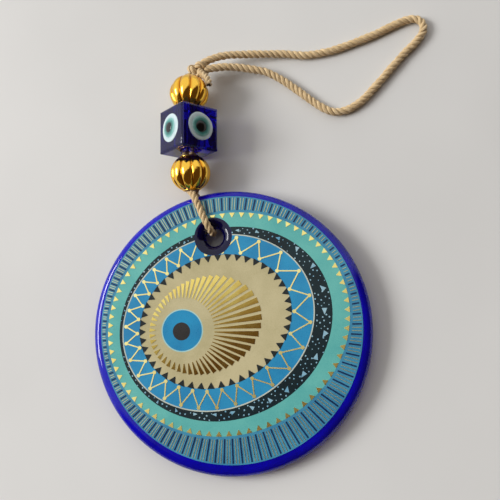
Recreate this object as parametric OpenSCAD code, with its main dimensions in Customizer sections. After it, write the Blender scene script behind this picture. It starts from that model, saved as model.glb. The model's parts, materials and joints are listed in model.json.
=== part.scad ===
// Evil eye ornament: a cobalt glass disc with a printed eye, hung on a jute cord
// with two gilt melon beads and a glass cube bead, lying face up on a table.
// Millimetres, +Z up. The table is z = 0. The disc leans on the cord that passes under it.

/* [Glass disc] */
// Diameter of the disc over its rounded edge
disc_d = 120; // [110:1:130]
// Thickness of the glass
disc_t = 7; // [6.5:0.1:7.5]
// Diameter of the printed design
print_d = 112; // [100:1:113]
// Thickness of one layer of ink or foil
ink_t = 0.12; // [0.08:0.01:0.2]
// Radius of the hanging hole at its throat
hole_throat_r = 3.9; // [3.9:0.1:4.4]
// Radius of the hanging hole where it meets the disc's faces
hole_flare_r = 8.2; // [8:0.1:8.4]
// Distance of the hole from the centre of the disc
hole_dist = 40.4; // [40:0.1:41]
// Angle of the hole to the left of the +Y direction
hole_turn = 10.3; // [8:0.1:12]
// Lean of the disc, whose upper end lies on its cord
lean = 1.9; // [1.9:0.05:2.2]

/* [Beads] */
// Greatest diameter of a melon bead
melon_d = 17.5; // [16:0.1:18]
// Length of a melon bead along the cord
melon_len = 15.2; // [15:0.1:16]
// Number of lobes on a melon bead
melon_lobes = 10; // [8:1:16]
// Depth of the creases between the lobes
crease = 0.9; // [0.4:0.1:1.2]
// Side of the cube bead across the cord
cube_w = 18.7; // [18:0.1:19]
// Length of the cube bead along the cord
cube_len = 19.6; // [18:0.1:20]
// Radius of the cube's edges
cube_edge_r = 1.3; // [0.8:0.1:1.6]
// Radius of the hole through every bead
bore_r = 3.3; // [3.3:0.1:3.5]
// Spin of the cube about the cord, which leaves one edge on the table
cube_spin = 48; // [42:1:50]

/* [Cord] */
// Diameter of the jute in the hanging loop
cord_d = 3.4; // [3:0.1:3.6]
// Diameter of the jute where it is pulled tight through beads and disc
tight_d = 3; // [2.8:0.1:3]
// Radius of the knot above the upper bead
knot_r = 4.6; // [4.4:0.1:4.8]

/* [Hidden] */
PLAIN = [
    "glass_disc", "stripe_band", "turquoise_band", "black_band", "cream_line", "blue_band",
    "beige_field", "eye_outline", "eye_iris", "eye_pupil", "dark_bars", "gold_bars",
    "gold_triangles", "pale_dots", "gold_zigzag", "black_teeth", "gold_rays",
    "lower_bead", "cube_bead", "upper_bead", "cord_over_web", "cord_under_web", "cord_rise",
    "cord_neck", "cord_stem_left", "cord_stem_right", "cord_knot", "cord_tail", "cord_loop"
];
CUBE_EYES = [for (i = [1:4], layer = ["white", "iris", "pupil"]) str("cube_eye_", i, "_", layer)];

edge_r = disc_t / 2;
flat_r = disc_d / 2 - edge_r;
hole = hole_dist * [-sin(hole_turn), cos(hole_turn)];
// The hole's wall in section, from face to face: half an oval that bulges towards the hole's axis.
hole_wall = concat(
    [[hole_flare_r, disc_t + 1]],
    [
        for (a = [90:-7.5:-90])
            [hole_flare_r - (hole_flare_r - hole_throat_r) * cos(a), edge_r + edge_r * sin(a)]
    ],
    [[hole_flare_r, -1]]
);

// Printed rings: each oval is [centre, half length, half width, turn of its length].
print_centre = [0, 1.2];
stripe_oval = [[-1, 3.2], 52.4, 46.2, 19];
turquoise_oval = [[-1.9, 3.1], 46.4, 39.9, 21];
line_oval = [[-4.9, 3.4], 42.4, 36.1, 25];
black_oval = [[-4.9, 3.4], 41.9, 35.6, 25];
beige_oval = [[-5.8, 3.7], 33.4, 27.3, 22];
ray_oval = [[-9.9, 2], 24.8, 20, 22];
ray_hub = [-14.3, 2];
eye = [-19.7, -0.5];
pupil = [-20, -0.9];
iris_r = 8.6;
outline_r = 9.1;
pupil_r = 3.8;
oval_n = 96;

bars_n = 98;
bars_hub = [-11, 3];
triangles_n = 76;
teeth_n = 46;
zigzag_n = 28;
rays_n = 50;
dots_n = 120;

// The cord leaves the hole towards the beads along web_dir, over and under the web of glass.
web_turn = 26;
web_dir = [-sin(web_turn), cos(web_turn)];
mouth_s = 23;
mouth_w = 6.1;

// Each bead has its own axis, [turn to the left, climb], as the cord arches over the cube.
lower_axis = [5, 10];
cube_axis = [2, 1.5];
upper_axis = [3, -11];
bead_gap = 1.1;
strand_gap = tight_d / 2;
mouth_r = 3.5;

// Glass dots on each face of the cube: their radii, how deep the first is set and how thick each is.
eye_dot_r = [6.2, 4.6, 2.5];
eye_sink = 0.5;
eye_step = 0.15;

// The disc's centre sits so that the origin is the middle of the disc and beads.
disc_y = -26.15;

function unit(v) = v / norm(v);
function aim(a) = [-sin(a[0]) * cos(a[1]), cos(a[0]) * cos(a[1]), sin(a[1])];
function on_glass(u, v, w) = [
    u,
    disc_y - flat_r + (v + flat_r) * cos(lean) - w * sin(lean),
    (v + flat_r) * sin(lean) + w * cos(lean)
];
function web_point(s, w) = on_glass(hole[0] + s * web_dir[0], hole[1] + s * web_dir[1], w);

lower_start = web_point(mouth_s, mouth_w);
lower_end = lower_start + melon_len * aim(lower_axis);
cube_start = lower_end + bead_gap * aim((lower_axis + cube_axis) / 2);
cube_end = cube_start + cube_len * aim(cube_axis);
upper_start = cube_end + bead_gap * aim((cube_axis + upper_axis) / 2);
upper_end = upper_start + melon_len * aim(upper_axis);

// Points of the cord's route over the web of glass: [distance from the hole's axis, height].
WEB_ROUTE = [
    [21.6, 7.8], [20.4, 8.5], [18.8, 8.8], [16, 8.8], [12, 8.8], [8.3, 8.8],
    [5.2, 8.1], [3.1, 6.2], [2.3, 3.5], [3.1, 0.8], [5.2, -1.1], [8.3, -1.8],
    [12, -1.8], [16.5, -1.8], [19.2, -1.2], [21, 0.6], [21.7, 2.2], [21.8, 3.8]
];
// Points at which that route is cut: where it turns under the glass, and where it leaves the table again.
UNDER_FROM = 8;
UNDER_TO = 14;
// Points of the hanging loop, measured from the disc's centre on the table.
LOOP_ROUTE = [
    [-13.7, 120.6, 8.5], [-9, 122.9, 7.6], [-3.5, 124.3, 6.4], [6.5, 125.2, 4.2],
    [20.5, 125.5, 2.2], [31, 124.4, 1.8], [41.5, 125.5, 1.8], [51.5, 128.5, 1.8],
    [62, 132.3, 1.8], [69, 135.6, 1.8], [75, 138, 1.8], [79.8, 138.6, 1.8],
    [83, 136.4, 1.8], [83.2, 132.3, 1.8], [80.2, 127.8, 1.8], [76, 123.6, 1.8],
    [71, 118, 1.8], [65.5, 111.5, 1.8], [60, 105.2, 1.8], [55, 100.4, 1.8],
    [49, 97.2, 1.8], [43.5, 96.9, 1.8], [38, 99.6, 1.8], [31.7, 104.4, 1.8],
    [26, 109, 1.8], [20.5, 113, 2.2], [13.5, 116.6, 3.2], [6.5, 118, 4.2],
    [0, 118.6, 5.6], [-6, 118.3, 7.2], [-11.8, 117.3, 8.3]
];
KNOT = [-17, 116.5, 8];
TAIL_ROUTE = [[-14.8, 114.2, 10.1], [-12.2, 111.4, 12.4], [-10.8, 109, 14], [-10.2, 106.6, 14.8]];

function from_disc(p) = [p[0], p[1] + disc_y, p[2]];

// ---- Shared shapes ----

module on_disc(w = 0) {
    translate([0, disc_y - flat_r, 0])
        rotate([lean, 0, 0])
            translate([0, flat_r, w])
                children();
}

// Stands children up along a bead's axis, with z = 0 at the bead's start.
module along(start, axis) {
    translate(start)
        rotate([0, 0, axis[0]])
            rotate([axis[1] - 90, 0, 0])
                children();
}

// A round tube swept along points, or along those from first to last. Its rings keep to the direction of side.
module tube(points, d, side, first = 0, last = undef) {
    sides = 8;
    end = len(points) - 1;
    stop = is_undef(last) ? end : last;
    n = stop - first + 1;
    rings = [
        for (i = [first:stop])
            let (
                t = unit(points[min(i + 1, end)] - points[max(i - 1, 0)]),
                a = unit(cross(t, side)),
                b = cross(t, a)
            )
            for (k = [0:sides - 1])
                points[i] + d / 2 * (cos(k * 360 / sides) * a + sin(k * 360 / sides) * b)
    ];
    walls = [
        for (i = [0:n - 2], k = [0:sides - 1])
            let (
                p = i * sides + k,
                q = i * sides + (k + 1) % sides
            )
            each [[p, q + sides, q], [p, p + sides, q + sides]]
    ];
    ends = [[for (k = [0:sides - 1]) k], [for (k = [sides - 1:-1:0]) (n - 1) * sides + k]];
    polyhedron(rings, concat(walls, ends));
}

function oval_point(o, t) =
    let (p = [o[1] * cos(t), o[2] * sin(t)])
    o[0] + [p[0] * cos(o[3]) - p[1] * sin(o[3]), p[0] * sin(o[3]) + p[1] * cos(o[3])];

function grown(o, by) = [o[0], o[1] + by, o[2] + by, o[3]];

// Distance from a point inside an oval to its edge, in direction t.
function reach(o, from, t) =
    let (
        x = cos(t - o[3]),
        y = sin(t - o[3]),
        c = from - o[0],
        px = c[0] * cos(o[3]) + c[1] * sin(o[3]),
        py = c[1] * cos(o[3]) - c[0] * sin(o[3]),
        aa = pow(x / o[1], 2) + pow(y / o[2], 2),
        bb = px * x / pow(o[1], 2) + py * y / pow(o[2], 2),
        cc = pow(px / o[1], 2) + pow(py / o[2], 2) - 1
    )
    (-bb + sqrt(bb * bb - aa * cc)) / aa;

function toward(from, t, r) = from + r * [cos(t), sin(t)];

module oval(o) {
    polygon([for (i = [0:oval_n - 1]) oval_point(o, i * 360 / oval_n)]);
}

module print_edge() {
    translate(print_centre)
        circle(d = print_d, $fn = 180);
}

// One layer of ink, cut back around the hanging hole. Layer 0 lies on the glass.
module ink(layer = 0) {
    on_disc(disc_t + layer * ink_t)
        linear_extrude(ink_t)
            difference() {
                children();
                translate(hole)
                    circle(r = hole_flare_r + 0.1, $fn = 72);
            }
}

// A bar of width w from point a to point b.
module bar(a, b, w) {
    side = w / 2 * unit([a[1] - b[1], b[0] - a[0]]);
    polygon([a + side, a - side, b - side, b + side]);
}

// A wedge with its point at a and a base of width w at b.
module wedge(a, b, w_a, w_b) {
    side = unit([a[1] - b[1], b[0] - a[0]]) / 2;
    polygon([a + w_a * side, a - w_a * side, b - w_b * side, b + w_b * side]);
}

// ---- Glass disc and its printed layers ----

module glass_disc() {
    color("mediumblue")
        on_disc()
            difference() {
                rotate_extrude($fn = 180) {
                    square([flat_r, disc_t]);
                    translate([flat_r, edge_r])
                        circle(r = edge_r, $fn = 48);
                }
                translate(hole)
                    rotate_extrude($fn = 96)
                        polygon(concat([[0, disc_t + 1]], hole_wall, [[0, -1]]));
            }
}

module stripe_band() {
    color("steelblue")
        ink()
            difference() {
                print_edge();
                oval(stripe_oval);
            }
}

module turquoise_band() {
    color("mediumaquamarine")
        ink()
            difference() {
                oval(stripe_oval);
                oval(turquoise_oval);
            }
}

module black_band() {
    color([0.02, 0.1, 0.14])
        ink()
            difference() {
                oval(turquoise_oval);
                oval(line_oval);
            }
}

module cream_line() {
    color("oldlace")
        ink()
            difference() {
                oval(line_oval);
                oval(black_oval);
            }
}

module blue_band() {
    color("deepskyblue")
        ink()
            difference() {
                oval(black_oval);
                oval(beige_oval);
            }
}

module beige_field() {
    color("tan")
        ink()
            difference() {
                oval(beige_oval);
                translate(eye)
                    circle(r = outline_r, $fn = 72);
            }
}

module eye_ring(outer_r, inner_r, inner_at) {
    ink()
        difference() {
            translate(eye)
                circle(r = outer_r, $fn = 72);
            translate(inner_at)
                circle(r = inner_r, $fn = 72);
        }
}

module eye_outline() {
    color("paleturquoise")
        eye_ring(outline_r, iris_r, eye);
}

module eye_iris() {
    color("dodgerblue")
        eye_ring(iris_r, pupil_r, pupil);
}

module eye_pupil() {
    color([0.1, 0.08, 0.08])
        ink()
            translate(pupil)
                circle(r = pupil_r, $fn = 48);
}

// Radial bars across the striped band, clear of both of its edges. They crowd together near their hub.
module radial_bars(offset_steps, margin, w) {
    for (i = [0:bars_n - 1]) {
        hub_t = (i + offset_steps) * 360 / bars_n;
        spot = toward(bars_hub, hub_t, reach(stripe_oval, bars_hub, hub_t)) - print_centre;
        t = atan2(spot[1], spot[0]);
        inner = toward(print_centre, t, reach(stripe_oval, print_centre, t) + margin);
        outer = toward(print_centre, t, print_d / 2 - 0.6);
        bar(inner, outer, w);
    }
}

module dark_bars() {
    color([0, 0.12, 0.3])
        ink(1)
            radial_bars(0, 1, 0.6);
}

module gold_bars() {
    color("palegoldenrod")
        ink(1)
            for (step = [0.34, 0.66])
                radial_bars(step, 1.2, 0.28);
}

// Small foil triangles on the outer edge of the turquoise band, pointing inward.
module gold_triangles() {
    color("gold")
        ink(1)
            for (i = [0:triangles_n - 1]) {
                t = i * 360 / triangles_n;
                base = oval_point(grown(stripe_oval, -0.1), t);
                tip = oval_point(grown(stripe_oval, -2.1), t);
                wedge(tip, base, 0.2, 2.4);
            }
}

// Marks scattered over the black band: dots in as many rows as it has room for, and small wedges between them.
module pale_dots() {
    color("lightsteelblue")
        ink(1)
            for (i = [0:dots_n - 1]) {
                t = i * 360 / dots_n;
                outer = reach(turquoise_oval, line_oval[0], t);
                room = outer - reach(line_oval, line_oval[0], t);
                rows = max(1, floor(room / 1.7));
                if (i % 4 == 2 && room > 2) {
                    middle = toward(line_oval[0], t, outer - room / 2 * (1 + 0.4 * sin(i * 97)));
                    half = toward([0, 0], 90 * sin(i * 53) + t, 0.13 * room + 0.35);
                    wedge(middle - half, middle + half, 0.15, 0.25 * room + 0.4);
                } else
                    for (row = [0:rows - 1]) {
                        depth = room * (row + 0.5 + 0.3 * sin(i * 137 + row * 71)) / rows;
                        if (room > 1.3)
                            translate(toward(line_oval[0], t + 1.2 * (row % 2), outer - depth))
                                circle(r = 0.3 + 0.08 * sin(i * 83 + row * 40), $fn = 6);
                    }
            }
}

// Foil zigzag across the blue band, with a dot at every corner.
module gold_zigzag() {
    centre = ray_oval[0];
    corners = [
        for (i = [0:2 * zigzag_n - 1])
            let (
                even = i * 180 / zigzag_n,
                t = even + 2 + 5 * sin(even),
                edge = i % 2 == 0 ? grown(black_oval, -1) : grown(beige_oval, 1.1)
            )
            toward(centre, t, reach(edge, centre, t))
    ];
    color("gold")
        ink(1) {
            for (i = [0:2 * zigzag_n - 1])
                bar(corners[i], corners[(i + 1) % (2 * zigzag_n)], 0.5);
            for (c = corners)
                translate(c)
                    circle(r = 0.8, $fn = 10);
        }
}

module black_teeth() {
    color([0.04, 0.06, 0.06])
        ink(1)
            for (i = [0:teeth_n - 1]) {
                t = i * 360 / teeth_n;
                base = oval_point(grown(beige_oval, 0.1), t);
                tip = oval_point(grown(beige_oval, -2.5), t);
                wedge(tip, base, 0.2, 3.1);
            }
}

// Foil rays that point at the eye and widen to the oval's edge, most of all on the far side.
module gold_rays() {
    ends = [
        for (i = [0:rays_n])
            let (t = i * 360 / rays_n)
            toward(ray_hub, t, reach(ray_oval, ray_hub, t))
    ];
    color("goldenrod")
        ink(1)
            for (i = [0:rays_n - 1]) {
                len_out = norm(ends[i] - eye);
                inner = eye + min(14, 0.82 * len_out) * (ends[i] - eye) / len_out;
                wedge(inner, ends[i], 0.3, 0.66 * norm(ends[i + 1] - ends[i]));
            }
}

// ---- Beads ----

// Lobed bead: its outline is an oval of revolution, creased between the lobes.
module melon() {
    steps = 6;
    around = melon_lobes * steps;
    rings = 15;
    stretch = melon_len / 2 / sqrt(1 - pow(2 * mouth_r / melon_d, 2));
    skin = [
        for (j = [0:rings - 1])
            let (
                z = melon_len / 2 * (1 - cos(j * 180 / (rings - 1))),
                r = melon_d / 2 * sqrt(1 - pow((z - melon_len / 2) / stretch, 2)),
                dip = crease * (r - mouth_r) / (melon_d / 2 - mouth_r)
            )
            for (k = [0:around - 1])
                let (
                    a = k * 360 / around,
                    rr = r - dip * (1 - abs(sin(a * melon_lobes / 2)))
                )
                [rr * cos(a), rr * sin(a), z]
    ];
    walls = [
        for (j = [0:rings - 2], k = [0:around - 1])
            let (
                p = j * around + k,
                q = j * around + (k + 1) % around
            )
            each [[p, q + around, q], [p, p + around, q + around]]
    ];
    ends = [
        [for (k = [0:around - 1]) k],
        [for (k = [around - 1:-1:0]) (rings - 1) * around + k]
    ];
    difference() {
        polyhedron(skin, concat(walls, ends));
        translate([0, 0, -1])
            cylinder(r = bore_r, h = melon_len + 2, $fn = 48);
    }
}

module lower_bead() {
    color("goldenrod")
        along(lower_start, lower_axis)
            melon();
}

module upper_bead() {
    color("goldenrod")
        along(upper_start, upper_axis)
            melon();
}

module rounded_rectangle(w, h, r) {
    translate([-w / 2, r - h / 2])
        square([w, h - 2 * r]);
    translate([r - w / 2, -h / 2])
        square([w - 2 * r, h]);
    for (x = [-1, 1], y = [-1, 1])
        translate([x * (w / 2 - r), y * (h / 2 - r)])
            circle(r = r, $fn = 32);
}

module rounded_prism(w, h) {
    translate([0, 0, -cube_len])
        linear_extrude(2 * cube_len)
            rounded_rectangle(w, h, cube_edge_r);
}

// Places children on face i of the cube, with z = 0 on the face.
module on_cube_face(i) {
    along(cube_start, cube_axis)
        translate([0, 0, cube_len / 2])
            rotate([0, 0, cube_spin + 90 * i])
                translate([cube_w / 2, 0, 0])
                    rotate([0, 90, 0])
                        children();
}

module cube_bead() {
    color("navy")
        difference() {
            along(cube_start, cube_axis)
                translate([0, 0, cube_len / 2])
                    rotate([0, 0, cube_spin])
                        difference() {
                            intersection() {
                                rounded_prism(cube_w, cube_w);
                                rotate([90, 0, 0])
                                    rounded_prism(cube_w, cube_len);
                                rotate([0, 90, 0])
                                    rounded_prism(cube_len, cube_w);
                            }
                            translate([0, 0, -cube_len])
                                cylinder(r = bore_r, h = 2 * cube_len, $fn = 48);
                        }
            for (i = [1:4])
                on_cube_face(i)
                    translate([0, 0, -eye_sink])
                        cylinder(r = eye_dot_r[0], h = 2, $fn = 64);
        }
}

// Melted glass dots on a face of the cube: a white one, then the iris and the pupil on it.
module cube_eye(i, layer) {
    shade = ["white", "paleturquoise", "black"][layer];
    floor_z = layer == 0 ? -eye_sink : layer * eye_step;
    top_z = (layer + 1) * eye_step;
    color(shade)
        on_cube_face(i)
            translate([0, 0, floor_z])
                cylinder(r = eye_dot_r[layer], h = top_z - floor_z, $fn = 64);
}

// ---- Cord ----

module web_cord(first, last) {
    across = unit(web_point(0, 0) - on_glass(hole[0] + web_dir[1], hole[1] - web_dir[0], 0));
    color("tan")
        tube([for (p = WEB_ROUTE) web_point(p[0], p[1])], tight_d, across, first, last);
}

module cord_over_web() {
    web_cord(0, UNDER_FROM);
}

module cord_under_web() {
    web_cord(UNDER_FROM, UNDER_TO);
}

// From under the glass up to the mouth of the lower bead.
module cord_rise() {
    web_cord(UNDER_TO, len(WEB_ROUTE) - 1);
}

// The short length where both strands meet, at the mouth of the lower bead.
module cord_neck() {
    color("tan")
        along(lower_start, lower_axis)
            translate([0, 0, 0.1])
                cylinder(r = tight_d, h = 0.5, $fn = 24);
}

module stem(side) {
    shift = side * strand_gap * [1, 0, 0];
    out = upper_end + aim(upper_axis) + shift;
    points = [
        lower_start + 0.9 * aim(lower_axis), lower_end, cube_start,
        cube_end, upper_start, upper_end
    ];
    color("tan")
        tube([for (p = points) p + shift, out, out + 0.4 * (from_disc(KNOT) - out)], tight_d, [0, 0, 1]);
}

module cord_stem_left() {
    stem(-1);
}

module cord_stem_right() {
    stem(1);
}

// A double overhand knot: a ball of jute with turns laid round it.
module cord_knot() {
    turn_r = 1.7;
    color("peru")
        translate(from_disc(KNOT)) {
            sphere(r = knot_r - 0.9, $fn = 40);
            for (a = [[20, 35], [140, 60], [250, 25]])
                rotate([0, a[1], a[0]])
                    rotate_extrude($fn = 40)
                        translate([knot_r - turn_r, 0])
                            circle(r = turn_r, $fn = 20);
        }
}

module cord_tail() {
    color("peru")
        tube([for (p = TAIL_ROUTE) from_disc(p)], tight_d, [0, 0, 1]);
}

module cord_loop() {
    color("tan")
        tube([for (p = LOOP_ROUTE) from_disc(p)], cord_d, [0, 0, 1]);
}

glass_disc();
stripe_band();
turquoise_band();
black_band();
cream_line();
blue_band();
beige_field();
eye_outline();
eye_iris();
eye_pupil();
dark_bars();
gold_bars();
gold_triangles();
pale_dots();
gold_zigzag();
black_teeth();
gold_rays();
lower_bead();
cube_bead();
upper_bead();
cord_over_web();
cord_under_web();
cord_rise();
cord_neck();
cord_stem_left();
cord_stem_right();
cord_knot();
cord_tail();
cord_loop();
for (i = [1:4], layer = [0:2])
    cube_eye(i, layer);
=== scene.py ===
"""Looks for the evil eye ornament. Metres, +Z up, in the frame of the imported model."""

import json
import math
import random

import bpy
from mathutils import Matrix, Vector


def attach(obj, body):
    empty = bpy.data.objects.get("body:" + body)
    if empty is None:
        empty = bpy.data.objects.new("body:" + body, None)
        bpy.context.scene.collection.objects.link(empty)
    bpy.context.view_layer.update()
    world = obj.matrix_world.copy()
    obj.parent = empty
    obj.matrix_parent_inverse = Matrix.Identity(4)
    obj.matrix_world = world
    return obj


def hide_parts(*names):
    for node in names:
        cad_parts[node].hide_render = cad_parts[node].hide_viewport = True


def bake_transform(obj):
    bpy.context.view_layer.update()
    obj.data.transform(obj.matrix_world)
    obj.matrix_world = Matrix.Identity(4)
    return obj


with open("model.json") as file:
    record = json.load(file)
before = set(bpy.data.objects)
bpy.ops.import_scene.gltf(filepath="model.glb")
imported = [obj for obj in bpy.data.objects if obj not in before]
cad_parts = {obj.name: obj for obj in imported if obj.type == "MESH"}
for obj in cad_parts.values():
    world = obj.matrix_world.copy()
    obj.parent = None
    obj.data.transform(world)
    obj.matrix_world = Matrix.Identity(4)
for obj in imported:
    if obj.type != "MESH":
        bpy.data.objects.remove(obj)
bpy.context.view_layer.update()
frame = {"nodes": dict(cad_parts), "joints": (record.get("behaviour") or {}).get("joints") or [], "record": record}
NODES = frame["nodes"]
JOINTS = {joint["name"]: joint for joint in frame["joints"]}
RECORD = frame["record"]


def joint_at(name):
    return Vector(JOINTS[name]["pos_m"])


def joint_axis(name):
    return Vector(JOINTS[name]["axis"]).normalized()


def mount(name):
    return next(m for m in RECORD["mounts"] if m["name"] == name)


# ---- Where things are, from the frame ----

BACK = mount("back_face")
DISC_UP = -Vector(BACK["axis"]).normalized()
DISC_CENTRE = Vector(BACK["pos_m"])
DISC_ACROSS = Vector((1, 0, 0))
DISC_ALONG = DISC_UP.cross(DISC_ACROSS)
MOUTH = joint_at("cord_swing")
LOWER_AXIS = joint_axis("lower_bead_spin")
CUBE_START = joint_at("cube_spin")
CUBE_AXIS = joint_axis("cube_spin")
UPPER_START = joint_at("upper_bead_spin")
UPPER_AXIS = joint_axis("upper_bead_spin")
KNOT = joint_at("loop_swing")

# ---- Sizes, as in the CAD ----

HOLE_DIST = 0.0404
HOLE_TURN = math.radians(10.3)
WEB_TURN = math.radians(26)
BEAD_D = 0.0175
BEAD_LEN = 0.0152
BEAD_LOBES = 10
BEAD_CREASE = 0.0011
BEAD_MOUTH_R = 0.0035
BORE_R = 0.0033
CUBE_W = 0.0187
CUBE_LEN = 0.0196
CUBE_SPIN = math.radians(48)
CORD_D = 0.0034
TIGHT_D = 0.003
TABLE_GAP = 0.0001

# Route of the cord over and under the web of glass:
# (distance from the hole's axis, height over the disc's back).
WEB_ROUTE = [
    (0.0216, 0.0078), (0.0204, 0.0085), (0.0188, 0.0088), (0.016, 0.0088), (0.012, 0.0088),
    (0.0083, 0.0088), (0.0052, 0.0081), (0.0031, 0.0062), (0.0023, 0.0035), (0.0031, 0.0008),
    (0.0052, -0.0011), (0.0083, -0.0018), (0.012, -0.0018), (0.0165, -0.0018), (0.0192, -0.0012),
    (0.021, 0.0006), (0.0217, 0.0022), (0.0218, 0.0038),
]
# Routes of the hanging loop and the cut end, from the disc's centre on the table.
LOOP_ROUTE = [
    (-0.0137, 0.1206, 0.0085), (-0.009, 0.1229, 0.0076), (-0.0035, 0.1243, 0.0064),
    (0.0065, 0.1252, 0.0042), (0.0205, 0.1255, 0.0022), (0.031, 0.1244, 0.0018),
    (0.0415, 0.1255, 0.0018), (0.0515, 0.1285, 0.0018), (0.062, 0.1323, 0.0018),
    (0.069, 0.1356, 0.0018), (0.075, 0.138, 0.0018), (0.0798, 0.1386, 0.0018),
    (0.083, 0.1364, 0.0018), (0.0832, 0.1323, 0.0018), (0.0802, 0.1278, 0.0018),
    (0.076, 0.1236, 0.0018), (0.071, 0.118, 0.0018), (0.0655, 0.1115, 0.0018),
    (0.06, 0.1052, 0.0018), (0.055, 0.1004, 0.0018), (0.049, 0.0972, 0.0018),
    (0.0435, 0.0969, 0.0018), (0.038, 0.0996, 0.0018), (0.0317, 0.1044, 0.0018),
    (0.026, 0.109, 0.0018), (0.0205, 0.113, 0.0022), (0.0135, 0.1166, 0.0032),
    (0.0065, 0.118, 0.0042), (0, 0.1186, 0.0056), (-0.006, 0.1183, 0.0072),
    (-0.0118, 0.1173, 0.0083),
]
TAIL_ROUTE = [
    (-0.0148, 0.1142, 0.0101), (-0.0122, 0.1114, 0.0124), (-0.0108, 0.109, 0.014),
    (-0.0102, 0.1066, 0.0148),
]
KNOT_FROM_DISC = Vector((-0.017, 0.1165, 0.008))
TABLE_CENTRE = KNOT - KNOT_FROM_DISC


def from_disc(point):
    return TABLE_CENTRE + Vector(point)


def web_point(along, height):
    """A point over the web of glass, in the plane that the cord round it lies in."""
    hole = HOLE_DIST * (math.cos(HOLE_TURN) * DISC_ALONG - math.sin(HOLE_TURN) * DISC_ACROSS)
    toward = math.cos(WEB_TURN) * DISC_ALONG - math.sin(WEB_TURN) * DISC_ACROSS
    return DISC_CENTRE + hole + along * toward + height * DISC_UP


# ---- Camera ----

def make_camera(at, look, up, lens):
    camera = bpy.data.objects.new("camera", bpy.data.cameras.new("camera"))
    bpy.context.scene.collection.objects.link(camera)
    back = -Vector(look).normalized()
    right = Vector(up).cross(back).normalized()
    turn = Matrix((right, back.cross(right), back)).transposed()
    camera.matrix_world = Matrix.Translation(at) @ turn.to_4x4()
    camera.data.lens = lens
    camera.data.sensor_width = 36
    camera.data.clip_start = 0.01
    bpy.context.scene.camera = camera


make_camera(
    at=(0.055, -0.0387, 0.2779), look=(-0.167, 0.1669, -0.9717), up=(0.008, 0.9858, 0.1679), lens=46.8
)


# ---- Mesh helpers ----

def new_piece(name, verts, faces, material, smooth=True):
    mesh = bpy.data.meshes.new(name)
    mesh.from_pydata(verts, [], faces)
    mesh.validate()
    mesh.shade_smooth() if smooth else mesh.shade_flat()
    mesh.materials.append(material)
    piece = bpy.data.objects.new(name, mesh)
    bpy.context.scene.collection.objects.link(piece)
    return piece


def point_values(piece, name, values):
    """Stores one number per vertex, for the material to read."""
    attribute = piece.data.attributes.new(name, "FLOAT", "POINT")
    attribute.data.foreach_set("value", values)


def smooth_path(points, step):
    """A smooth curve through points, cut into even steps."""
    points = [Vector(p) for p in points]
    ends = [2 * points[0] - points[1]] + points + [2 * points[-1] - points[-2]]
    fine = []
    for a, b, c, d in zip(ends, ends[1:], ends[2:], ends[3:]):
        for i in range(24):
            t = i / 24
            fine.append(0.5 * (
                2 * b + (c - a) * t + (2 * a - 5 * b + 4 * c - d) * t * t
                + (3 * b - a - 3 * c + d) * t * t * t
            ))
    fine.append(points[-1])
    total = path_length(fine)
    count = max(2, round(total / step))
    even, walked, i = [fine[0]], 0.0, 0
    for k in range(1, count):
        goal = total * k / count
        while walked + (fine[i + 1] - fine[i]).length < goal:
            walked += (fine[i + 1] - fine[i]).length
            i += 1
        part = (goal - walked) / (fine[i + 1] - fine[i]).length
        even.append(fine[i].lerp(fine[i + 1], part))
    return even + [fine[-1]]


def path_length(path):
    return sum((b - a).length for a, b in zip(path, path[1:]))


def path_frames(path):
    """(tangent, normal, binormal) at each point, turning as little as possible."""
    frames = []
    for i, point in enumerate(path):
        tangent = (path[min(i + 1, len(path) - 1)] - path[max(i - 1, 0)]).normalized()
        if frames:
            normal = frames[-1][1]
        else:
            normal = Vector((0, 0, 1)) if abs(tangent.z) < 0.9 else Vector((1, 0, 0))
        normal = (normal - normal.dot(tangent) * tangent).normalized()
        frames.append((tangent, normal, tangent.cross(normal)))
    return frames


# ---- Jute ----

ROPE_STEP = 0.00035
PLIES = 3
PLY_SIDES = 16
LAY = 0.0078
PLY_OFFSET = 0.25
PLY_RADIUS = 0.27
HAIR_LONGEST = 0.0045


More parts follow.
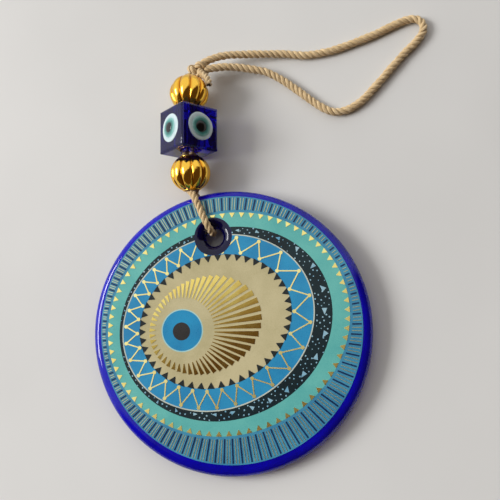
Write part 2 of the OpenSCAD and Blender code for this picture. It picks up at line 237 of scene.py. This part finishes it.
def rope(name, path, diameter, material, seed, taper_end=0.0, floor=None):
    """Twisted jute: three plies wound to the right round path, each with its own yarns and lumps."""
    draw = random.Random(seed)
    frames = path_frames(path)
    step = path_length(path) / (len(path) - 1)
    verts, faces, uvs, ply_shade_distance = [], [], [], []
    for ply in range(PLIES):
        waves = [
            (draw.uniform(120, 900), draw.uniform(0, 6.28), draw.uniform(0.01, 0.035)) for _ in range(5)
        ]
        start = len(verts)
        for i, (point, (tangent, normal, side)) in enumerate(zip(path, frames)):
            at = i * step
            swell = 1 + sum(size * math.sin(rate * at + shift) for rate, shift, size in waves)
            left = (len(path) - 1 - i) * step
            close = min(1, (left + 0.0002) / taper_end) if taper_end else 1
            turn = 2 * math.pi * (at / LAY + ply / PLIES)
            out = math.cos(turn) * normal + math.sin(turn) * side
            round_ = math.cos(turn) * side - math.sin(turn) * normal
            lead = 2 * math.pi * PLY_OFFSET * diameter / LAY
            ply_side = (round_ - lead * tangent).normalized()
            centre = point + PLY_OFFSET * diameter * close * out
            for k in range(PLY_SIDES):
                a = 2 * math.pi * k / PLY_SIDES
                yarns = 1 + 0.05 * math.cos(5 * a + 2600 * at + 2 * ply)
                r = PLY_RADIUS * diameter * swell * yarns * math.sqrt(close)
                vert = centre + r * (math.cos(a) * out + math.sin(a) * ply_side)
                if floor is not None:
                    vert.z = max(vert.z, floor)
                verts.append(vert)
                # Each vertex's distance from the rope's axis, which the jute material turns into painted shade
                # where the plies meet.
                ply_shade_distance.append(min(1, max(0, (vert - point).length / diameter * 2)))
                uvs.append((k / PLY_SIDES, at))
        rings = len(path)
        for i in range(rings - 1):
            for k in range(PLY_SIDES):
                a = start + i * PLY_SIDES + k
                b = start + i * PLY_SIDES + (k + 1) % PLY_SIDES
                faces.append((a, b, b + PLY_SIDES, a + PLY_SIDES))
        faces.append([start + k for k in reversed(range(PLY_SIDES))])
        faces.append([start + (rings - 1) * PLY_SIDES + k for k in range(PLY_SIDES)])
    piece = new_piece(name, verts, faces, material)
    # The height attribute carries that distance to the jute material's painted shade.
    point_values(piece, "height", ply_shade_distance)
    point_values(piece, "around", [uv[0] for uv in uvs])
    point_values(piece, "along", [uv[1] for uv in uvs])
    return piece


def fibres(name, path, diameter, material, seed, per_mm, floor=None):
    """Loose hairs that stand off a length of jute."""
    draw = random.Random(seed)
    frames = path_frames(path)
    verts, faces = [], []
    for _ in range(int(path_length(path) * 1000 * per_mm)):
        i = draw.randrange(len(path))
        tangent, normal, side = frames[i]
        turn = draw.uniform(0, 2 * math.pi)
        out = math.cos(turn) * normal + math.sin(turn) * side
        way = tangent * draw.choice((-1, 1)) + out.cross(tangent) * draw.uniform(-0.7, 0.7)
        length = draw.uniform(0.25, 1) ** 2 * HAIR_LONGEST
        lift, curl = draw.uniform(0.1, 0.6), draw.uniform(-0.8, 0.8)
        radius = draw.uniform(0.00003, 0.00006)
        spine = []
        for k in range(5):
            t = k / 4
            p = path[i] + 0.44 * diameter * out + length * (t * way + lift * t * t * out)
            spine.append(p + length * curl * t * t * 0.4 * out.cross(way))
        if floor is not None and min(p.z for p in spine) < floor:
            continue
        start = len(verts)
        for k, p in enumerate(spine):
            a, b = out, out.cross(way).normalized()
            r = radius * (1 - 0.75 * k / 4)
            for c in range(3):
                angle = c * 2 * math.pi / 3
                verts.append(p + r * (math.cos(angle) * a + math.sin(angle) * b))
        for k in range(4):
            for c in range(3):
                p, q = start + 3 * k + c, start + 3 * k + (c + 1) % 3
                faces.append((p, q, q + 3, p + 3))
        faces.append((start + 2, start + 1, start))
        faces.append((start + 12, start + 13, start + 14))
    return new_piece(name, verts, faces, material)


# ---- Materials ----

class Nodes:
    """A node material with its Principled shader, and short calls for the nodes it needs."""

    def __init__(self, name, **settings):
        self.material = bpy.data.materials.new(name)
        self.material.use_nodes = True
        self.tree = self.material.node_tree
        self.shader = self.tree.nodes["Principled BSDF"]
        for socket, value in settings.items():
            self.shader.inputs[SOCKETS[socket]].default_value = value

    def add(self, kind, **settings):
        node = self.tree.nodes.new(kind)
        for key, value in settings.items():
            setattr(node, key, value)
        return node

    def link(self, a, b):
        self.tree.links.new(a, b)

    def coords(self):
        return self.add("ShaderNodeTexCoord").outputs["Object"]

    def value(self, name):
        return self.add("ShaderNodeAttribute", attribute_name=name).outputs["Fac"]

    def noise(self, vector, scale, detail=3.0, rough=0.55, stretch=None):
        if stretch:
            mapping = self.add("ShaderNodeMapping")
            mapping.inputs["Scale"].default_value = stretch
            self.link(vector, mapping.inputs["Vector"])
            vector = mapping.outputs["Vector"]
        node = self.add("ShaderNodeTexNoise")
        node.inputs["Scale"].default_value = scale
        node.inputs["Detail"].default_value = detail
        node.inputs["Roughness"].default_value = rough
        self.link(vector, node.inputs["Vector"])
        return node.outputs["Fac"]

    def ramp(self, factor, stops):
        node = self.add("ShaderNodeValToRGB")
        elements = node.color_ramp.elements
        while len(elements) < len(stops):
            elements.new(0.5)
        for element, (position, colour) in zip(elements, stops):
            element.position = position
            element.color = (*colour, 1)
        self.link(factor, node.inputs["Fac"])
        return node.outputs["Color"]

    def math(self, operation, a, b=None):
        node = self.add("ShaderNodeMath", operation=operation)
        for socket, value in zip(node.inputs, (a, b)):
            if isinstance(value, (int, float)):
                socket.default_value = value
            elif value is not None:
                self.link(value, socket)
        return node.outputs["Value"]

    def mix(self, factor, a, b, blend="MIX"):
        node = self.add("ShaderNodeMix", data_type="RGBA", blend_type=blend)
        for socket, value in ((node.inputs[0], factor), (node.inputs[6], a), (node.inputs[7], b)):
            if isinstance(value, (int, float)):
                socket.default_value = value
            elif isinstance(value, tuple):
                socket.default_value = (*value, 1)
            else:
                self.link(value, socket)
        return node.outputs[2]

    def bump(self, height, distance, strength=1.0):
        node = self.add("ShaderNodeBump")
        node.inputs["Distance"].default_value = distance
        node.inputs["Strength"].default_value = strength
        self.link(height, node.inputs["Height"])
        self.link(node.outputs["Normal"], self.shader.inputs["Normal"])

    def colour(self, output):
        self.link(output, self.shader.inputs["Base Color"])

    def roughness(self, output, low, high):
        node = self.add("ShaderNodeMapRange")
        node.inputs["To Min"].default_value = low
        node.inputs["To Max"].default_value = high
        self.link(output, node.inputs["Value"])
        self.link(node.outputs["Result"], self.shader.inputs["Roughness"])


SOCKETS = {
    "metallic": "Metallic",
    "rough": "Roughness",
    "ior": "IOR",
    "transmission": "Transmission Weight",
    "coat": "Coat Weight",
    "coat_rough": "Coat Roughness",
    "sheen": "Sheen Weight",
    "sheen_rough": "Sheen Roughness",
    "specular": "Specular IOR Level",
}


def jute_material():
    """Dull tan bast fibre: streaks that follow each ply, with painted shade that darkens it where the plies meet.
    """
    m = Nodes("jute", rough=0.85, sheen=0.25, sheen_rough=0.5, specular=0.25)
    combine = m.add("ShaderNodeCombineXYZ")
    m.link(m.value("around"), combine.inputs["X"])
    m.link(m.value("along"), combine.inputs["Y"])
    streaks = m.noise(combine.outputs["Vector"], 1, 4, 0.65, stretch=(16, 420, 1))
    patches = m.noise(m.coords(), 260, 3)
    fibre = m.ramp(
        streaks, [(0.3, (0.27, 0.16, 0.06)), (0.5, (0.62, 0.45, 0.24)), (0.72, (0.95, 0.8, 0.55))]
    )
    toned = m.mix(m.math("MULTIPLY", patches, 0.5), fibre, (0.66, 0.49, 0.27))
    # Painted shade: the colour goes dark close to the rope's axis, where the plies meet.
    painted_ply_shade = m.ramp(m.value("height"), [(0.5, (0.09, 0.04, 0.012)), (0.92, (1, 1, 1))])
    m.colour(m.mix(1.0, toned, painted_ply_shade, "MULTIPLY"))
    m.bump(streaks, 0.00025, 0.8)
    return m.material


def fibre_material():
    """The loose hairs: paler than the twine, since each catches light alone."""
    m = Nodes("jute_fibres", rough=0.7, sheen=0.2, sheen_rough=0.5)
    tone = m.noise(m.coords(), 500, 2)
    m.colour(m.ramp(tone, [(0.35, (0.55, 0.4, 0.22)), (0.65, (0.9, 0.75, 0.52))]))
    return m.material


JUTE = jute_material()
HAIR = fibre_material()


# ---- Cords ----

def cord_pieces(name, points, diameter, seed, bodies, floor=None, per_mm=2.6, **taper):
    """A length of jute with its loose hairs. bodies is one body to attach them to; a (body, body, start, end)
    tuple instead leaves them fixed where they stand, and its items are not used.
    """
    path = smooth_path(points, ROPE_STEP)
    strand = rope(name, path, diameter, JUTE, seed, floor=floor, **taper)
    hair = fibres(name + "_hairs", path, diameter, HAIR, seed + 1, per_mm, floor=floor)
    for piece in (strand, hair):
        if isinstance(bodies, str):
            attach(piece, bodies)
        else:
            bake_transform(piece)
    return path, strand, hair


def loop_points():
    """The loop's route, with both ends carried on into the knot."""
    points = [from_disc(p) for p in LOOP_ROUTE]
    return [points[0].lerp(KNOT, 0.3)] + points + [points[-1].lerp(KNOT, 0.3)]


loop_path, loop, loop_hairs = cord_pieces(
    "jute_loop", loop_points(), CORD_D, 11, "loop", floor=TABLE_GAP
)
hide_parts("cord_loop")

WEB_END = web_point(0.0195, 0.005)
web_path, web, web_hairs = cord_pieces(
    "jute_round_web", [web_point(s, w) for s, w in WEB_ROUTE], TIGHT_D, 21,
    ("disc", "neck", WEB_END, MOUTH - 0.0006 * LOWER_AXIS), floor=TABLE_GAP, per_mm=0.8,
)
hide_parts("cord_over_web", "cord_under_web", "cord_rise")


SIDES = {-1: "left", 1: "right"}
ACROSS = Vector((1, 0, 0))


def strand_route(side):
    """One strand through the beads, from the lower bead's mouth to the knot."""
    shift = side * TIGHT_D / 2 * ACROSS
    lower_end = MOUTH + BEAD_LEN * LOWER_AXIS
    cube_end = CUBE_START + CUBE_LEN * CUBE_AXIS
    upper_end = UPPER_START + BEAD_LEN * UPPER_AXIS
    stops = [MOUTH + 0.0009 * LOWER_AXIS, lower_end, CUBE_START, cube_end, UPPER_START, upper_end]
    out = upper_end + 0.001 * UPPER_AXIS + shift
    return [p + shift for p in stops] + [out, out.lerp(KNOT, 0.4)]


for side, word in SIDES.items():
    _, strand, _ = cord_pieces(
        "jute_strand_" + word, strand_route(side), TIGHT_D, 40 + side, "stem", per_mm=0.3
    )
    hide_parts("cord_stem_" + word)


def neck_piece():
    """Both strands where they turn from the web of glass into the lower bead."""
    pieces = []
    for side, (s, w) in ((-1, WEB_ROUTE[0]), (1, WEB_ROUTE[-1])):
        inside = MOUTH + side * TIGHT_D / 2 * ACROSS
        start = web_point(s - 0.0006, w - 0.0003 * side)
        turned = [inside + 0.0008 * LOWER_AXIS, inside + 0.003 * LOWER_AXIS]
        points = [start, start.lerp(inside, 0.6)] + turned
        _, strand, hair = cord_pieces(
            "jute_neck_" + SIDES[side], points, TIGHT_D, 60 + side,
            ("neck", "stem", MOUTH - 0.001 * LOWER_AXIS, MOUTH + 0.001 * LOWER_AXIS), per_mm=0.8,
        )
        pieces += [strand, hair]
    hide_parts("cord_neck")
    return pieces


neck = neck_piece()


KNOT_WIDTH = 0.00118
KNOT_DEPTH = 0.0021


def knot_route():
    """A pulled-tight overhand knot: the path of a trefoil, flattened a little."""
    points = []
    for i in range(37):
        t = 2 * math.pi * i / 36
        x = math.sin(t) + 2 * math.sin(2 * t)
        y = math.cos(t) - 2 * math.cos(2 * t)
        z = -math.sin(3 * t)
        points.append(KNOT + Vector((KNOT_WIDTH * x, KNOT_WIDTH * y, KNOT_DEPTH * z)))
    return points


_, knot, knot_hairs = cord_pieces("jute_knot", knot_route(), TIGHT_D, 71, "stem", per_mm=1.2)
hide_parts("cord_knot")
_, tail, tail_hairs = cord_pieces(
    "jute_cut_end", [from_disc(p) for p in TAIL_ROUTE], TIGHT_D, 81, "stem", per_mm=5, taper_end=0.0004
)
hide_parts("cord_tail")


# ---- Glass and print materials ----

def cobalt_glass(name, tint, body, painted_shade_at=None):
    """Deep blue glass with faint waves; painted shade darkens it round an optional point, the hole. body is how
    much light passes through it.
    """
    m = Nodes(name, rough=0.03, ior=1.45, transmission=body, specular=0.4)
    cloud = m.noise(m.coords(), 90, 3)
    dim, bright = (tuple(min(1, share * c) for c in tint) for share in (0.8, 1.25))
    colour = m.ramp(cloud, [(0.3, dim), (0.7, bright)])
    if painted_shade_at is not None:
        # Painted shade in the hole: the glass is darkened within about a centimetre of the given point.
        away = m.add("ShaderNodeVectorMath", operation="DISTANCE")
        away.inputs[1].default_value = painted_shade_at
        m.link(m.coords(), away.inputs[0])
        shade = m.math("MULTIPLY", away.outputs["Value"], 40)
        shadow = m.ramp(shade, [(0.34, (0.05, 0.03, 0.09)), (0.46, (1, 1, 1))])
        colour = m.mix(1.0, colour, shadow, "MULTIPLY")
    m.colour(colour)
    m.bump(m.noise(m.coords(), 70, 1), 0.0003, 0.2)
    return m.material


def ink(name, dark, light, rough=0.28, grain=2600):
    """Printed enamel under a clear varnish, with a fine grain and slightly uneven colour."""
    m = Nodes(name, coat=0.12, coat_rough=0.1, specular=0.28)
    patches = m.noise(m.coords(), 70, 4)
    specks = m.noise(m.coords(), grain, 2)
    blend = m.math("ADD", m.math("MULTIPLY", patches, 0.7), m.math("MULTIPLY", specks, 0.3))
    m.colour(m.ramp(blend, [(0.38, dark), (0.62, light)]))
    m.roughness(specks, rough - 0.06, rough + 0.1)
    m.bump(specks, 0.00003, 0.5)
    return m.material


# The way to the window, level with the table. The rays' foil leans its gloss away from it, as a slope
# that was fitted to the photo's reflections and not measured.
TO_WINDOW = (-0.5, 0.866, 0)
RAY_LEAN = 0.06


def foil(name, colour, rough, slope=0.0):
    """Hot-stamped foil: metal with a slight ripple and uneven gloss, leaning by slope."""
    m = Nodes(name, metallic=1.0)
    gloss = m.noise(m.coords(), 160, 3)
    warm = tuple(c * s for c, s in zip(colour, (0.93, 0.86, 0.75)))
    m.colour(m.ramp(gloss, [(0.38, warm), (0.6, colour)]))
    m.roughness(gloss, rough, rough + 0.06)
    ripple = m.math("MULTIPLY", m.noise(m.coords(), 420, 2), 0.000006)
    lean = m.add("ShaderNodeVectorMath", operation="DOT_PRODUCT")
    lean.inputs[1].default_value = [slope * share for share in TO_WINDOW]
    m.link(m.coords(), lean.inputs[0])
    m.bump(m.math("ADD", ripple, lean.outputs["Value"]), 1.0, 1.0)
    return m.material


PRINT = {
    "stripe_band": ink("stripe_ink", (0.035, 0.19, 0.34), (0.055, 0.27, 0.42)),
    "turquoise_band": ink("turquoise_ink", (0.085, 0.38, 0.37), (0.13, 0.46, 0.42)),
    "black_band": ink("black_ink", (0.001, 0.008, 0.012), (0.003, 0.018, 0.024)),
    "cream_line": ink("cream_ink", (0.4, 0.46, 0.42), (0.54, 0.58, 0.5)),
    "blue_band": ink("blue_ink", (0.012, 0.2, 0.42), (0.022, 0.27, 0.5)),
    "beige_field": ink("beige_ink", (0.42, 0.37, 0.2), (0.52, 0.46, 0.27)),
    "eye_outline": ink("outline_ink", (0.28, 0.52, 0.52), (0.4, 0.62, 0.58)),
    "eye_iris": ink("iris_ink", (0.006, 0.19, 0.4), (0.01, 0.26, 0.5)),
    "eye_pupil": ink("pupil_ink", (0.012, 0.01, 0.01), (0.022, 0.019, 0.018)),
    "dark_bars": ink("navy_ink", (0.002, 0.014, 0.06), (0.005, 0.026, 0.1)),
    "pale_dots": ink("dot_ink", (0.08, 0.3, 0.48), (0.34, 0.52, 0.6)),
    "black_teeth": ink("tooth_ink", (0.004, 0.008, 0.01), (0.01, 0.016, 0.018)),
    "gold_bars": foil("pale_foil", (0.52, 0.58, 0.36), 0.3),
    "gold_triangles": foil("triangle_foil", (1.0, 0.9, 0.34), 0.16),
    "gold_zigzag": foil("zigzag_foil", (1.0, 0.92, 0.4), 0.16),
    "gold_rays": foil("ray_foil", (1.0, 0.84, 0.26), 0.07, slope=RAY_LEAN),
}


def paint(node, material):
    """Gives a CAD node its material."""
    piece = NODES[node]
    if not piece.material_slots:
        piece.data.materials.append(material)
    for held in piece.material_slots:
        held.material = material


for node, material in PRINT.items():
    paint(node, material)
GLASS = NODES["glass_disc"]
# The hole's middle, round which the disc's glass gets painted shade.
HOLE = GLASS.matrix_world.inverted() @ web_point(0, 0.0035)
paint("glass_disc", cobalt_glass("disc_glass", (0.005, 0.004, 0.66), 0.6, HOLE))
paint("cube_bead", cobalt_glass("cube_glass", (0.002, 0.002, 0.3), 0.9))


# ---- Melon beads ----

def gilt_material():
    """Bright gold plating with painted shade that turns it brown in the creases, and soft dents that break up its
    reflections.
    """
    m = Nodes("gilt", metallic=1.0)
    crest = m.value("crest")
    dents = m.noise(m.coords(), 330, 3)
    # Painted shade: dark brown in the creases, bright gold on the lobes' crests.
    m.colour(m.ramp(
        crest, [(0.0, (0.3, 0.07, 0.004)), (0.35, (0.78, 0.32, 0.02)), (0.8, (1.0, 0.6, 0.08))]
    ))
    m.roughness(m.noise(m.coords(), 1500, 3), 0.08, 0.2)
    m.bump(dents, 0.0004, 0.35)
    return m.material


GILT = gilt_material()


def bead_sides(axis):
    """Right and up directions of a bead whose bore runs along axis."""
    right = Vector((0, 0, 1)).cross(axis).normalized() * -1
    return right, axis.cross(right)


def melon_bead(name, node, start, axis):
    """A lobed bead with its bore, finer than the CAD's."""
    right, up = bead_sides(axis)
    steps, rings = 14, 40
    around = BEAD_LOBES * steps
    big = BEAD_D / 2
    stretch = BEAD_LEN / 2 / math.sqrt(1 - (BEAD_MOUTH_R / big) ** 2)
    rows = []
    for j in range(rings):
        z = BEAD_LEN / 2 * (1 - math.cos(j * math.pi / (rings - 1)))
        r = big * math.sqrt(1 - ((z - BEAD_LEN / 2) / stretch) ** 2)
        rows.append((z, r, BEAD_CREASE * min(1, 1.25 * (r - BEAD_MOUTH_R) / (big - BEAD_MOUTH_R))))
    lip = 0.0003
    rows.append((BEAD_LEN - 0.4 * lip, BORE_R, 0))
    rows.append((BEAD_LEN - 3 * lip, BORE_R, 0))
    rows.append((3 * lip, BORE_R, 0))
    rows.append((0.4 * lip, BORE_R, 0))
    verts, faces, crest = [], [], []
    for z, r, dip in rows:
        for k in range(around):
            a = 2 * math.pi * k / around
            lobe = math.sqrt(abs(math.sin(a * BEAD_LOBES / 2)))
            rr = r - dip * (1 - lobe)
            verts.append(start + rr * (math.cos(a) * right + math.sin(a) * up) + z * axis)
            # How high up its lobe each vertex is; the gilt material paints shade in the creases from it, and the
            # bore gets a middle value.
            crest.append(lobe if dip > 0 else 0.4)
    count = len(rows)
    for j in range(count):
        for k in range(around):
            p, q = j * around + k, j * around + (k + 1) % around
            after = (j + 1) % count * around
            n, o = after + k, after + (k + 1) % around
            faces.append((p, q, o, n))
    bead = new_piece(name, verts, faces, GILT)
    point_values(bead, "crest", crest)
    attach(bead, node)
    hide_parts(node)


def rolled_lip(name, body, centre, axis):
    """The thin ring rolled over at a bead's mouth."""
    right, up = bead_sides(axis)
    ring_r, wire_r, sides, steps = 0.00375, 0.0004, 10, 64
    verts, faces, crest = [], [], []
    for k in range(steps):
        a = 2 * math.pi * k / steps
        out = math.cos(a) * right + math.sin(a) * up
        for c in range(sides):
            b = 2 * math.pi * c / sides
            verts.append(centre + (ring_r + wire_r * math.cos(b)) * out + wire_r * math.sin(b) * axis)
            # A value near a crest, so the gilt material paints little shade on the lip.
            crest.append(0.9)
            p, q = k * sides + c, k * sides + (c + 1) % sides
            n, o = (k + 1) % steps * sides + c, (k + 1) % steps * sides + (c + 1) % sides
            faces.append((p, n, o, q))
    lip = new_piece(name, verts, faces, GILT)
    point_values(lip, "crest", crest)
    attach(lip, body)


melon_bead("lower_melon_bead", "lower_bead", MOUTH, LOWER_AXIS)
melon_bead("upper_melon_bead", "upper_bead", UPPER_START, UPPER_AXIS)
for bead, start, axis in (("lower_bead", MOUTH, LOWER_AXIS), ("upper_bead", UPPER_START, UPPER_AXIS)):
    rolled_lip(bead + "_near_lip", bead, start + 0.0003 * axis, axis)
    rolled_lip(bead + "_far_lip", bead, start + (BEAD_LEN - 0.0003) * axis, axis)


# ---- Cube bead's eyes ----

def dot_material(name, stops, rough=0.1):
    """Opaque glass, its colour graded from the dot's middle to its edge."""
    m = Nodes(name, rough=rough, coat=0.15, coat_rough=0.04, specular=0.4)
    wobble = m.math("MULTIPLY", m.math("SUBTRACT", m.noise(m.coords(), 420, 3), 0.5), 0.35)
    m.colour(m.ramp(m.math("ADD", m.value("radius"), wobble), stops))
    m.bump(m.noise(m.coords(), 300, 2), 0.0002, 0.25)
    return m.material


# Each eye's layers: (name, radius, height of its base over the face, dome, material).
EYE_LAYERS = [
    ("white", 0.0062, 0.00015, 0.00035, dot_material(
        "eye_white", [(0.6, (0.36, 0.5, 0.53)), (0.95, (0.55, 0.67, 0.7))]
    )),
    ("iris", 0.0048, 0.00045, 0.0003, dot_material(
        "eye_aqua", [(0.45, (0.012, 0.07, 0.07)), (0.75, (0.07, 0.25, 0.23)), (1.0, (0.26, 0.5, 0.48))]
    )),
    ("pupil", 0.0026, 0.0007, 0.0003, dot_material(
        "eye_black", [(0.5, (0.002, 0.003, 0.005)), (1.0, (0.005, 0.014, 0.016))]
    )),
]
# How much each face's dots differ from the rule: white, iris, pupil.
EYE_SCALE = {1: (1, 0.78, 0.66), 2: (1, 0.9, 0.85), 3: (1, 0.95, 1), 4: (1, 1.04, 1.2)}


def glass_dot(name, centre, out, up, radius, base, dome, material, seed):
    """A melted dot of glass: nearly round, domed, with a rounded edge."""
    draw = random.Random(seed)
    across = up.cross(out)
    ripple = [(n, draw.uniform(0, 6.28), draw.uniform(0.004, 0.014)) for n in (2, 3, 5)]
    profile = [
        (0.0, 1.0), (0.25, 0.97), (0.5, 0.86), (0.7, 0.7),
        (0.85, 0.48), (0.95, 0.24), (1.0, -0.1), (1.0, -1.5),
    ]
    sides = 72
    verts, faces, radii = [centre + (base + dome) * out], [], [0.0]
    for share, height in profile[1:]:
        for k in range(sides):
            a = 2 * math.pi * k / sides
            uneven = sum(size * math.sin(n * a + shift) for n, shift, size in ripple)
            r = radius * share * (1 + share * uneven)
            flat = r * (math.cos(a) * across + math.sin(a) * up)
            verts.append(centre + flat + (base + dome * height) * out)
            radii.append(share)
    for k in range(sides):
        faces.append((0, 1 + k, 1 + (k + 1) % sides))
    for j in range(len(profile) - 2):
        for k in range(sides):
            p, q = 1 + j * sides + k, 1 + j * sides + (k + 1) % sides
            faces.append((p, p + sides, q + sides, q))
    last = 1 + (len(profile) - 2) * sides
    faces.append([last + k for k in reversed(range(sides))])
    dot = new_piece(name, verts, faces, material)
    point_values(dot, "radius", radii)
    return dot


def cube_eyes():
    """The dots on the four side faces, each set a little off the middle of the one under it."""
    right, up = bead_sides(CUBE_AXIS)
    middle = CUBE_START + CUBE_LEN / 2 * CUBE_AXIS
    stray = 0.0004
    for face in (1, 2, 3, 4):
        turn = CUBE_SPIN + face * math.pi / 2
        out = math.cos(turn) * right + math.sin(turn) * up
        draw = random.Random(100 + face)
        drift = Vector((0, 0, 0))
        for (layer, radius, base, dome, material), scale in zip(EYE_LAYERS, EYE_SCALE[face]):
            radius *= scale
            centre = middle + CUBE_W / 2 * out + drift
            dot = glass_dot(
                f"cube_eye_{face}_{layer}_glass", centre, out, CUBE_AXIS, radius, base, dome, material,
                draw.random(),
            )
            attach(dot, "cube")
            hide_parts(f"cube_eye_{face}_{layer}")
            along, across = draw.uniform(-stray, stray), draw.uniform(-stray, stray)
            drift += along * CUBE_AXIS + across * CUBE_AXIS.cross(out)


cube_eyes()


# ---- Table, light and surroundings ----

def table():
    """The plain pale floor that it lies on."""
    size = 3
    verts = [(-size, -size, 0), (size, -size, 0), (size, size, 0), (-size, size, 0)]
    m = Nodes("table", rough=0.8, specular=0.1)
    m.colour(m.ramp(m.noise(m.coords(), 6, 3), [(0.3, (0.6, 0.6, 0.595)), (0.7, (0.66, 0.66, 0.655))]))
    m.bump(m.noise(m.coords(), 900, 2), 0.0001, 0.1)
    new_piece("table", verts, [(0, 1, 2, 3)], m.material, smooth=False)


def area_light(name, at, target, width, height, watts, colour):
    light = bpy.data.objects.new(name, bpy.data.lights.new(name, "AREA"))
    bpy.context.scene.collection.objects.link(light)
    light.location = at
    light.rotation_euler = (Vector(target) - Vector(at)).to_track_quat("-Z", "Y").to_euler()
    light.data.shape = "RECTANGLE"
    light.data.size = width
    light.data.size_y = height
    light.data.energy = watts
    light.data.color = colour


# The room that the object mirrors, from its dark side to its bright side:
# (how far toward the window a direction points, colour). Fitted to the foils in the photo.
ROOM = [
    (-0.2, (0.085, 0.05, 0.03)), (-0.06, (0.08, 0.036, 0.016)),
    (-0.02, (0.28, 0.2, 0.12)), (0.05, (1.0, 0.99, 0.97)),
]
ROOM_STRENGTH = 0.92
BACKDROP = (0.56, 0.55, 0.54, 1)


def surroundings():
    """A plain studio, bright toward the window and dim and warm elsewhere, with a plain backdrop."""
    world = bpy.data.worlds.new("studio")
    bpy.context.scene.world = world
    world.use_nodes = True
    tree = world.node_tree
    coords = tree.nodes.new("ShaderNodeTexCoord")
    toward_window = tree.nodes.new("ShaderNodeVectorMath")
    toward_window.operation = "DOT_PRODUCT"
    toward_window.inputs[1].default_value = TO_WINDOW
    half = tree.nodes.new("ShaderNodeMapRange")
    half.inputs["From Min"].default_value = -1
    ramp = tree.nodes.new("ShaderNodeValToRGB")
    tree.links.new(coords.outputs["Generated"], toward_window.inputs[0])
    tree.links.new(toward_window.outputs["Value"], half.inputs["Value"])
    tree.links.new(half.outputs["Result"], ramp.inputs["Fac"])
    stops = ramp.color_ramp.elements
    while len(stops) < len(ROOM):
        stops.new(0.5)
    for stop, (share, colour) in zip(stops, ROOM):
        stop.position = (share + 1) / 2
        stop.color = (*colour, 1)
    seen = tree.nodes.new("ShaderNodeLightPath")
    plain = tree.nodes.new("ShaderNodeMix")
    plain.data_type = "RGBA"
    tree.links.new(seen.outputs["Is Camera Ray"], plain.inputs["Factor"])
    tree.links.new(ramp.outputs["Color"], plain.inputs[6])
    plain.inputs[7].default_value = BACKDROP
    tree.links.new(plain.outputs[2], tree.nodes["Background"].inputs["Color"])
    tree.nodes["Background"].inputs["Strength"].default_value = ROOM_STRENGTH


table()
surroundings()
area_light("window", (-1.3, 0.1, 0.95), (0, 0.02, 0), 0.8, 0.6, 24, (1.0, 0.99, 0.97))
bpy.context.scene.view_settings.view_transform = "Standard"
